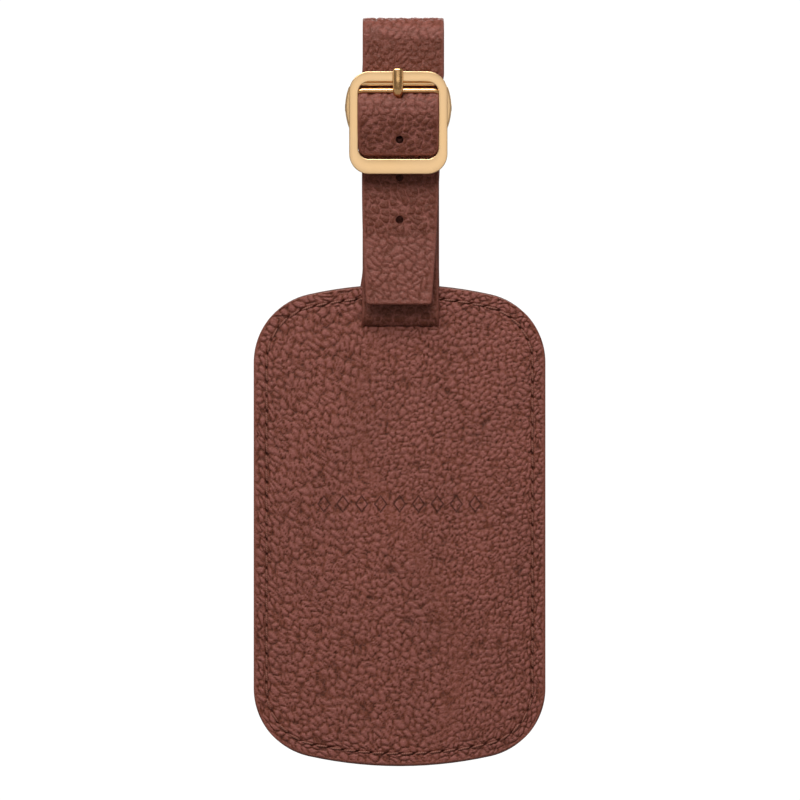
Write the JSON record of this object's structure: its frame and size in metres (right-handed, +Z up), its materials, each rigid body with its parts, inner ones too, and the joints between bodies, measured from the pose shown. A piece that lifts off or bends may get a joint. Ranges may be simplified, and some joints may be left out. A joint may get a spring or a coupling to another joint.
{
  "type": "luggage tag",
  "caption": "Stitched leather luggage tag with a card pocket on its back, hung on a buckled strap that loops round a bag's handle.",
  "frame": {"origin": "on the axis of the strap's bend, where the luggage handle passes through the loop", "axes": "+Z up with the tag hanging, +X along the luggage handle, -Y is the way the tag's face and the buckle look"},
  "size_m": [0.0694, 0.0147, 0.1784],
  "materials": {
    "pebbled_leather": "pebbled grain, semi-matt",
    "smooth_leather": "smooth, semi-matt",
    "lining_leather": "smooth, matt",
    "board": "painted edge, satin",
    "clear_film": "clear, glossy",
    "card": "uncoated card stock",
    "thread": "waxed thread",
    "brass": "light gold plating, polished",
    "steel": "light gold plating, polished"
  },
  "bodies": {
    "strap": {"handle_loop_outer_ply": "pebbled_leather", "handle_loop_inner_ply": "lining_leather", "buckle_fold_face_ply": "pebbled_leather", "buckle_fold_lining_ply": "lining_leather"},
    "buckle": {"buckle_frame": "brass", "centre_bar": "steel", "keeper_rod": "brass"},
    "prong": {"prong": "brass"},
    "tag": {"front_panel": "pebbled_leather", "core_board": "board", "back_panel": "smooth_leather", "pocket_panel": "smooth_leather", "window_film": "clear_film", "front_stitches": "thread", "back_stitches": "thread", "pocket_stitches": "thread", "slot_loop_outer_ply": "pebbled_leather", "slot_loop_inner_ply": "lining_leather", "strap_end_face_ply": "pebbled_leather", "strap_end_lining_ply": "lining_leather"},
    "card": {"address_card": "card"}
  },
  "joints": [
    {"name": "tag_swing", "type": "hinge", "parent": "strap", "child": "tag", "pos_m": [0, 0.00005, -0.0473], "axis": [1, 0, 0], "range_deg": [-30, 30]},
    {"name": "buckle_rock", "type": "hinge", "parent": "strap", "child": "buckle", "pos_m": [0, -0.00365, -0.0161], "axis": [1, 0, 0], "range_deg": [-3, 0]},
    {"name": "prong_lift", "type": "hinge", "parent": "buckle", "child": "prong", "pos_m": [0, -0.00365, -0.0161], "axis": [1, 0, 0], "range_deg": [0, 12]},
    {"name": "card_slide", "type": "slide", "parent": "tag", "child": "card", "axis": [0, 0, 1], "range_m": [0, 0.013]}
  ]
}
